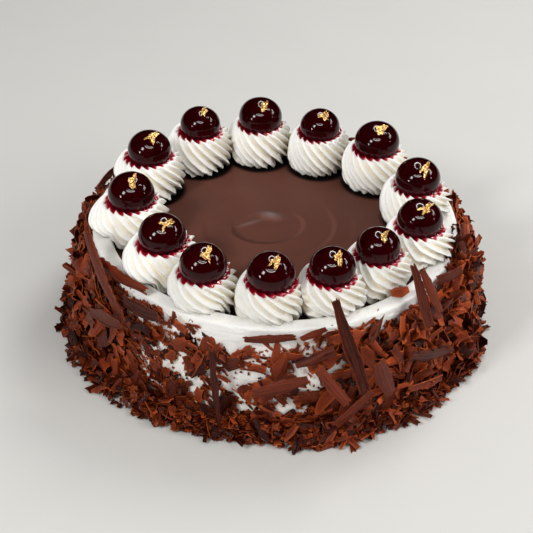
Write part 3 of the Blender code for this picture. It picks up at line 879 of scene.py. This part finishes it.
STOUT, FINE = (0.3, 0.5), (0.22, 0.4)
SHALLOW, LOW = (0.05, 0.6), (0.4, 1.0)
LONG = Shaving((9, 21), (3.6, 7.2), STOUT, (0.55, 1.05), "steep", 0.50, 0.9, 0.32, 60, 0.2, 0.0)
MIDDLING = Shaving((7, 15), (3.4, 7.0), STOUT, (0.4, 0.98), "any", 0.34, 0.75, 0.22, 45, 0.2, 0.2)
FLAKE = Shaving((5, 12), (4.2, 8.8), (0.25, 0.45), (0.3, 0.95), "any", 0.36, 0.55, 0.12, 35, 0.3, 0.5)
BIT = Shaving((2.5, 6.5), (1.5, 3.8), FINE, SHALLOW, "any", 0.5, 0.75, 0.14, 50, 0.3, 0.4)
SLIVER = Shaving((2.5, 7.5), (0.6, 1.7), FINE, SHALLOW, "any", 0.4, 0.8, 0.2, 50, 0.2, 0.4)
CRUMB = Shaving((0.8, 2.4), (0.6, 1.7), (0.3, 0.7), (0.0, 0.5), "any", 0.6, 1.0, 0.2, 50, 0.35, 0.5)
FOOT_SHARD = Shaving((6, 14), (2.4, 4.8), STOUT, (0.5, 1.0), "level", 0.3, 0.8, 0.22, 50, 0.2, 0.0)
FOOT_BIT = Shaving((2.5, 6.5), (1.4, 3.6), FINE, LOW, "level", 0.45, 0.8, 0.16, 50, 0.2, 0.0)
FOOT_SLIVER = Shaving((2.5, 7.5), (0.6, 1.6), FINE, LOW, "level", 0.45, 0.8, 0.2, 50, 0.2, 0.0)
PERCHED = Shaving((9.5, 9.5), (5.5, 5.5), (0.5, 0.5), (1, 1), "level", 0.0, 0.0, 0.3, 60, 0.2, 0.0)


def both_sides(outer, inner):
    """Joins a sheet's two sides into rows of one loop each, round the section."""
    return np.concatenate([outer, inner[:, :, ::-1]], axis=2)


def chips(rng, kind, length, width, thick, centre, along, face, rows, across):
    """Thin chips of chocolate, as (points, uv, how thin each point is).

    Each is a strip with its length along `along`. It narrows to its two ends, its sides jump in and out by
    the jag, it cups across its width, bows along its length through an arc of up to `bow` degrees, and
    twists a little.
    """
    n = len(length)
    s = np.linspace(-1, 1, rows)[None, :, None]
    c = np.linspace(1, -1, across + 1)[None, None, :]
    length, width, thick = (size[:, None, None] for size in (length, width, thick))
    narrow = rng.uniform(0, 0.5, (2, n, 1, 1))
    half = width / 2 * (1 - narrow[0] * ease(-s) - narrow[1] * ease(s))
    x = c * half * (1 + kind.jag * rng.uniform(-1, 1, (n, rows, across + 1)))
    arc = np.radians(kind.bow) * rng.uniform(-1, 1, (n, 1, 1))
    arc = np.where(abs(arc) < 0.02, 0.02, arc)
    torn = kind.jag * 0.7 * rng.uniform(-1, 1, (n, rows, across + 1))
    angle = arc * (s + np.where(abs(s) > 0.99, torn, 0)) / 2
    way = np.where(rng.uniform(0, 1, (n, 1, 1)) < 0.35, -1.0, 1.0)
    rise = way * kind.cup * width * rng.uniform(0.2, 1.5, (n, 1, 1)) * (1 - c**2)
    rise = rise + 0.03 * width * rng.uniform(-1, 1, (n, rows, across + 1))
    bent = [length / arc + rise + side * thick for side in (0.5, -0.5)]
    sides = [stacked(x, b * np.sin(angle), b * np.cos(angle) - length / arc) for b in bent]
    x, y, z = np.moveaxis(both_sides(*sides), -1, 0)
    turn = np.radians(25) * rng.uniform(-1, 1, (n, 1, 1)) * s
    x, z = x * np.cos(turn) + z * np.sin(turn), z * np.cos(turn) - x * np.sin(turn)
    side_way, along, face, centre = (v[:, None, None] for v in (np.cross(along, face), along, face, centre))
    points = centre + x[..., None] * side_way + y[..., None] * along + z[..., None] * face
    points[..., 2] = np.maximum(points[..., 2], FLOOR_GAP)
    start = rng.uniform(0, 400, (n, 1, 1))
    uv = stacked(s * length / 2 + start, c * width / 2 + start)
    thin = np.broadcast_to(np.maximum(abs(c) > 0.99, abs(s) > 0.99).astype(float), uv.shape[:3])
    return points, both_sides(uv, uv), both_sides(thin, thin)


def add_chips(name, sets, rows, across, finishes, nodes=(), sharp=42):
    """One piece made of chips with the same grid, in its first finish on their broad faces and its second on
    their edges. Sets is a list of (points, uv, thin, shade)."""
    points, uv, thin, shade = (np.concatenate(parts) for parts in zip(*sets))
    section = 2 * (across + 1)
    sides = grid_faces(rows, section)
    at_edge = (sides[:, 0] % section == across) | (sides[:, 0] % section == section - 1)
    j = np.arange(across)
    start = np.stack([j, j + 1, section - 2 - j, section - 1 - j], axis=-1)
    edges = np.concatenate([sides[at_edge], start, start[:, ::-1] + (rows - 1) * section])
    first = (np.arange(len(points)) * rows * section)[:, None, None]
    broad, edges = ((faces[None] + first).reshape(-1, 4) for faces in (sides[~at_edge], edges))
    mesh = new_mesh(name, points.reshape(-1, 3), broad, edges)
    add_number(mesh, "shade", np.repeat(shade, rows * section))
    add_number(mesh, "thin", thin)
    add_uv(mesh, uv)
    mesh.polygons.foreach_set("material_index", np.repeat([0, 1], [len(broad), len(edges)]).astype(np.int32))
    add_piece(mesh, finishes, nodes, sharp)


def swung(flat, out, tilt, roll):
    """(along, face) of chips on a surface: their lengths lie flat on it, tilt swings them out of it, and roll
    turns them about their lengths. Angles are in radians."""
    tilt, roll = tilt[:, None], roll[:, None]
    along = flat * np.cos(tilt) + out * np.sin(tilt)
    face = out * np.cos(tilt) - flat * np.sin(tilt)
    return along, face * np.cos(roll) + np.cross(along, face) * np.sin(roll)


def drawn(rng, count, density):
    """Bearings and heights drawn with this density, a function of both that stays under 1."""
    kept = np.zeros((0, 2))
    while len(kept) < count:
        tries = stacked(rng.uniform(0, TURN, count), rng.uniform(0, HEAP_TALL, count))
        kept = np.concatenate([kept, tries[rng.uniform(0, 1, count) < density(tries[:, 0], tries[:, 1])]])
    return kept[:count].T


def long_share(bearing):
    """Where the coat is made of long shards: most on the right of the front, and here and there behind."""
    behind = np.maximum(0.75 * towards(bearing, 45, 55), 0.6 * towards(bearing, 130, 40))
    return np.clip(towards(bearing, -28, 62) + behind, 0.0, 1.0)


def shards_here(bearing, height):
    return coat_cover(bearing, height + 2) * (0.10 + 0.90 * long_share(bearing))


def short_here(bearing, height):
    return coat_cover(bearing, height) * (1 - 0.72 * long_share(bearing)) * (1 - 0.76 * thinness(bearing))


def bits_here(bearing, height):
    return coat_cover(bearing, height) * (1 - 0.5 * long_share(bearing))


def everywhere(bearing, height):
    return coat_cover(bearing, height) * 0.78 + 0.22 * (height < coat_crest(bearing) - 3)


def low_down(bearing, height):
    return ease((13 - height) / 10)


def chip_ways(rng, way, count):
    """Directions of the chips' lengths, from level, in radians."""
    if way == "steep":
        lean = np.where(rng.uniform(0, 1, count) < 0.62, 1.0, -1.0)
        return lean * np.radians(rng.normal(52, 24, count))
    if way == "level":
        return np.radians(rng.normal(0, 28, count))
    return rng.uniform(0, math.pi, count)


def side_chips(rng, kind, count, density, rows, across):
    """Chips of one kind on the side, as (points, uv, thin, shade). They lie flatter where the coat is thin, are
    painted darker towards the foot as shade, and the topmost ones lie further in, over the rim."""
    bearing, height = drawn(rng, count, density)
    thinned = thinness(bearing)
    length = kind.length[0] + np.ptp(kind.length) * rng.uniform(0, 1, count) ** 1.5
    width, thick = rng.uniform(*kind.width, count), rng.uniform(*kind.thick, count)
    tilt, roll = (spread * (1 - 0.8 * thinned) * rng.normal(0, 1, count) for spread in (kind.tilt, kind.roll))
    way = chip_ways(rng, kind.way, count)
    flat = stacked(-np.sin(bearing) * np.cos(way), np.cos(bearing) * np.cos(way), np.sin(way))
    along, face = swung(flat, around(bearing, 1.0, 0.0), tilt, roll)
    wall = wall_radius(height)
    full = np.maximum(coat_radius(bearing, height), wall + 1.5)
    share = rng.uniform(*kind.depth, count) * (1 - 0.72 * thinned) * (1 - kind.sinks * long_share(bearing))
    inwards = np.maximum(height - WALL_TOP + 0.5, 0)
    centre = around(bearing, wall + 0.3 + share * (full - wall) - inwards, height)
    centre[:, 2] = np.maximum(centre[:, 2], np.abs(along[:, 2]) * length / 2 + 0.3)
    made = chips(rng, kind, length, width, thick, centre, along, face, rows, across)
    # Random tone, painted darker towards the foot as shade.
    shade = rng.normal(0.47, 0.34, count) - 0.46 * ease((15 - height) / 14)
    return (*made, np.clip(shade, 0, 1))


def make_coat(finishes):
    """All the loose shavings on the side: each piece's name, the grid of its chips, and its kinds of chips
    with their counts and where they lie."""
    shards = [(LONG, 1050, shards_here), (MIDDLING, 600, short_here), (FOOT_SHARD, 450, low_down)]
    rng = dice(7)
    for name, rows, across, kinds in (
        ("shaved_shards", 5, 3, shards),
        ("shaved_flakes", 4, 3, [(FLAKE, 1150, short_here)]),
        ("shaved_bits", 3, 2, [(BIT, 3000, bits_here), (FOOT_BIT, 1500, low_down)]),
        ("shaved_slivers", 3, 1, [(SLIVER, 2600, everywhere), (FOOT_SLIVER, 900, low_down)]),
        ("chocolate_crumbs", 2, 1, [(CRUMB, 7000, everywhere)]),
    ):
        add_chips(name, [side_chips(rng, *kind, rows, across) for kind in kinds], rows, across, finishes)


def make_litter(finishes):
    """The chips that fell round the foot, in a low bank against the cake with fewer further out, and one more
    on the rim at a mound's foot."""
    rng = dice(8)
    sets = []
    for kind, count in ((FOOT_BIT, 2500), (FOOT_SHARD, 650)):
        bearing = rng.uniform(0, TURN, count)
        out = rng.uniform(0, 1, count) ** 1.3
        radius = coat_radius(bearing, np.full(count, 1.0)) - 9.0 + 10.5 * out
        length = rng.uniform(*kind.length, count) * 0.9
        flat = around(rng.uniform(0, math.pi, count), 1.0, 0.0)
        tilt, roll = rng.normal(0, 0.35, count), rng.normal(0, 0.6, count)
        along, face = swung(flat, np.array([0.0, 0.0, 1.0]), tilt, roll)
        bank = 6.0 * (1 - out) * rng.uniform(0.3, 1.0, count)
        centre = around(bearing, radius, 0.8 + bank + np.abs(along[:, 2]) * length / 2)
        width, thick = rng.uniform(*kind.width, count) * 0.85, rng.uniform(*kind.thick, count)
        made = chips(rng, kind, length, width, thick, centre, along, face, 3, 2)
        # Painted dark, as shade at the cake's foot, with random tone.
        sets.append((*made, np.clip(rng.normal(0.24, 0.28, count), 0, 1)))
    size = [np.array(own[:1]) for own in (PERCHED.length, PERCHED.width, PERCHED.thick)]
    centre = np.array([[58.8, -66.0, 60.2]])
    along, face = unit(np.array([[0.97, 0.22, 0.10]])), unit(np.array([[-0.05, -0.35, 0.93]]))
    sets.append((*chips(rng, PERCHED, *size, centre, along, face, 3, 2), np.array([0.8])))
    add_chips("fallen_litter", sets, 3, 2, finishes)


def curl_frame(solid, narrow_first):
    """A curl solid's middle, its axes (side, along and out from the cake), and the solid's lowest and highest
    places along them. Along runs from its narrow end where that comes first, and else towards it."""
    middle = (solid.min(axis=0) + solid.max(axis=0)) / 2
    along = np.linalg.svd(solid - solid.mean(axis=0))[2][0]
    out = middle * [1, 1, 0]
    out = unit(out - along * (out @ along))
    side = np.cross(along, out)
    axes = np.stack([side, along, out])
    local = (solid - middle) @ axes.T
    ends = [np.ptp(local[local[:, 1] * way > 0.8 * np.max(local[:, 1] * way), 0]) for way in (-1, 1)]
    if (ends[0] < ends[1]) != narrow_first:
        axes, local = axes * [[-1], [-1], [1]], local * [-1, -1, 1]
    return middle, axes, local.min(axis=0), local.max(axis=0)


def make_curls(finishes):
    """Large curls over their solids. A curl's sheet cups across its width through an arc, outwards or
    inwards, bows round the cake, narrows to its ends, and has ragged sides and long ridges."""
    rows, across = 44, 22
    s = np.linspace(-1, 1, rows)[:, None]
    c = np.linspace(1, -1, across + 1)[None]
    for order, (name, (width, cup, first, second)) in enumerate(CURLS.items()):
        solid = np.unique(np.round(solid_points("curl_" + name), 3), axis=0)
        middle, axes, low, high = curl_frame(solid, first > second)
        length = high[1] - low[1]
        half_cup = math.radians(abs(cup)) / 2
        bend = width / 2 / math.sin(min(half_cup, math.pi / 2))
        bow = max(high[2] - low[2] - CURL_THICKNESS * 0.8 - bend * (1 - math.cos(half_cup)), 0.0)
        kept = 1 - first * ease(-s) - second * ease(s)
        at = stacked(s * length / 2, c * 30.0, 50.0 * order)
        edge = stacked(s * length / 2, np.sign(c) * 40.0, 50.0 * order)
        ragged = 1 + (0.16 * noise(edge, 2.6, 70, 3) - 0.04) * abs(c) ** 3
        torn = s + 0.07 * noise(at * [0, 0.10, 1], 1.0, 71, 2) * abs(s) ** 8
        turn = c * half_cup * ragged * (1 + 0.08 * noise(at * [1, 0, 1], 7.0, 72))
        ridge = 0.20 * noise(at * [0.05, 0.30, 1], 1.1, 73, 2)
        way = -1 if cup < 0 else 1
        lie = 1 - np.cos(turn) if cup < 0 else np.cos(turn) - math.cos(half_cup)
        rise = kept * bend * lie + bow * (1 - s**2) + ridge
        x = kept * bend * np.sin(turn) + 0.6 * noise(at * [1, 0, 1], 12.0, 74)
        sheet = stacked(x, torn * length / 2, rise)[None]
        half = CURL_THICKNESS * (0.35 - 0.175 * abs(c) ** 4)
        wall = stacked(half * way * np.sin(turn), 0.0, half * np.cos(turn))[None]
        grid = both_sides(sheet + wall, sheet - wall)
        points = middle + ((low + high) / 2 * [1, 1, 0] + [0, 0, low[2] + 0.35]) @ axes + grid @ axes
        uv = stacked(s * length / 2 + 37.0 * order, c * width / 2)[None]
        thin = np.maximum(abs(c) ** 5, abs(s) ** 24)[None]
        shade = np.array([0.14 + 0.34 * (order * 7 % 5) / 4])
        curl = (points, both_sides(uv, uv), both_sides(thin, thin), shade)
        add_chips("shaved_" + name, [curl], rows, across, finishes, ["curl_" + name], sharp=50)


# ---- stage


def make_floor():
    corners = np.array([(-1, -1, 0), (1, -1, 0), (1, 1, 0), (-1, 1, 0)]) * FLOOR_REACH
    mesh = new_mesh("floor", corners, np.array([[0, 1, 2, 3]]))
    mesh.materials.append(floor_finish())
    add_object("floor", mesh)


def placed(x, y, z, position):
    """The matrix of something with these axes that stands at a position."""
    matrix = Matrix(np.stack([x, y, z], axis=-1).tolist()).to_4x4()
    matrix.translation = (position * MM).tolist()
    return matrix


def add_lamp(name, position, size, power, colour, glossy=True, lights=None):
    """A soft box that shines at the cake. Lights, if given, are the starts of the names that it shines on."""
    data = bpy.data.lights.new(name, "AREA")
    data.shape = "RECTANGLE"
    data.size, data.size_y = (s * MM for s in size)
    data.energy = power
    data.color = colour
    lamp = add_object(name, data)
    position = np.array(position, float)
    back = unit(position - LAMP_TARGET)
    right = unit(np.cross([0.0, 0.0, 1.0], back))
    lamp.matrix_world = placed(right, np.cross(back, right), back, position)
    lamp.visible_glossy = glossy
    if lights:
        shine_only_on(lamp, *lights)


def shine_only_on(lamp, *starts):
    """Lights only the pieces whose names start like this."""
    lit = bpy.data.collections.new(lamp.name + "_lit")
    for piece in bpy.context.scene.objects:
        if piece.name.startswith(starts):
            lit.objects.link(piece)
    lamp.light_linking.receiver_collection = lit


def camera_axes():
    """(right, up, back) of a camera that looks down at the front of the cake, before it rolls."""
    sine, cosine = math.sin(CAMERA_RISE), math.cos(CAMERA_RISE)
    return np.array([[1.0, 0.0, 0.0], [0.0, sine, cosine], [0.0, -cosine, sine]])


def mirrored(right, up):
    """Directions that the camera sees mirrored in a cherry at these places on its disc, in cherry radii.

    A place on the disc is carried back along the line of sight to the flat ball, whose normal there turns the
    line of sight into 2 (n . s) n - s.
    """
    rightwards, upwards, sight = camera_axes()
    flat = np.array([1.0, 1.0, 1 / CHERRY_FLATNESS])
    disc = (right[..., None] * rightwards + up[..., None] * upwards) * flat
    step = sight * flat
    half, rest = disc @ step, (disc**2).sum(axis=-1) - 1
    reach = (-half + np.sqrt(half**2 - (step @ step) * rest)) / (step @ step)
    normal = unit((disc + reach[..., None] * step) * flat)
    return 2 * (normal @ sight)[..., None] * normal - sight


def make_ring_lamps():
    """Thin ring lamps round the cake, as glowing bands that only the cherries, the glaze and the leaf mirror.
    Each band is drawn as it shows in the front cherry."""
    points, faces = [], []
    for right, up, radius, start, end, half_width in LAMP_BANDS:
        turn = np.radians(np.linspace(start, end, BAND_STEPS + 1))
        i = np.arange(BAND_STEPS) + len(points) * (BAND_STEPS + 1)
        faces.append(np.stack([i, i + 1, i + BAND_STEPS + 2, i + BAND_STEPS + 1], axis=-1))
        for edge in (radius - half_width, radius + half_width):
            points.append(BAND_DISTANCE * mirrored(right + edge * np.cos(turn), up + edge * np.sin(turn)))
    mesh = new_mesh("ring_lamps", cherry_box(0)[1] + np.concatenate(points), np.concatenate(faces))
    black, glow = (0.0, 0.0, 0.0, 1.0), (1.0, 0.98, 0.96, 1.0)
    finish = Finish("ring_glow", Base_Color=black, Roughness=1.0, Emission_Color=glow, Emission_Strength=45.0)
    mesh.materials.append(finish.material)
    rings = add_object("ring_lamps", mesh)
    rings.visible_camera = False
    rings.visible_diffuse = False
    shine_only_on(rings, "glazed_cherry", "glaze_skirts", "gold_leaf")


def make_light():
    world = bpy.data.worlds.new("studio")
    bpy.context.scene.world = world
    world.use_nodes = True
    sky = world.node_tree.nodes["Background"].inputs
    sky["Color"].default_value, sky["Strength"].default_value = (1.0, 0.985, 0.96, 1.0), 0.36
    world.cycles_visibility.glossy = False
    chocolate = ["shaved", "chocolate", "fallen"]
    behind = [*chocolate, "packed", "piped", "cream", "gold_leaf", "floor"]
    mounds = [f"piped_cream_{number:02d}" for number in range(4, 13)]
    cool, warm = (1.0, 0.995, 0.98), (1.0, 0.99, 0.97)
    add_lamp("key", (-600, -640, 760), (200, 260), 5.4, cool)
    add_lamp("right_fill", (760, -420, 620), (600, 500), 4.2, warm, glossy=False)
    add_lamp("right_shine", (760, -300, 640), (360, 300), 4.0, (1.0, 0.98, 0.95), lights=chocolate)
    add_lamp("back_light", (420, 560, 820), (420, 420), 4.2, warm, lights=behind)
    add_lamp("mound_fill", (-260, -480, 1000), (500, 400), 2.8, cool, glossy=False, lights=mounds)
    make_ring_lamps()


def make_camera():
    """A long lens above the front of the cake, turned a little about its own axis."""
    right, up, back = camera_axes()
    x = right * math.cos(CAMERA_ROLL) + up * math.sin(CAMERA_ROLL)
    y = up * math.cos(CAMERA_ROLL) - right * math.sin(CAMERA_ROLL)
    data = bpy.data.cameras.new("camera")
    data.lens, data.sensor_width = 89.8, 36.0
    data.clip_start, data.clip_end = 0.01, 20.0
    camera = add_object("camera", data)
    camera.matrix_world = placed(x, y, back, CAMERA_TARGET + CAMERA_DISTANCE * back)
    bpy.context.scene.camera = camera


def main():
    bpy.context.scene.view_settings.view_transform = "Standard"
    cream = cream_finish()
    chip = chocolate_finish("shaved_chocolate", (0.020, 0.0014, 0.0003), (0.27, 0.040, 0.011), 0.5)
    # The chips' edges: a lighter, more orange finish, painted as light glowing through the thin chocolate.
    edge = chocolate_finish("chocolate_edge_glow", (0.09, 0.012, 0.002), (0.42, 0.080, 0.018), 0.25)
    make_drum(cream)
    make_ganache(ganache_finish())
    make_rosettes(cream)
    make_cherries(cherry_finish())
    make_skirts(jelly_finish())
    make_gold_leaf(gold_finish())
    make_shade_backing(shade_backing_finish())
    make_coat([chip, edge])
    make_litter([chip, edge])
    make_curls([chip, edge])
    make_floor()
    make_light()
    make_camera()


main()
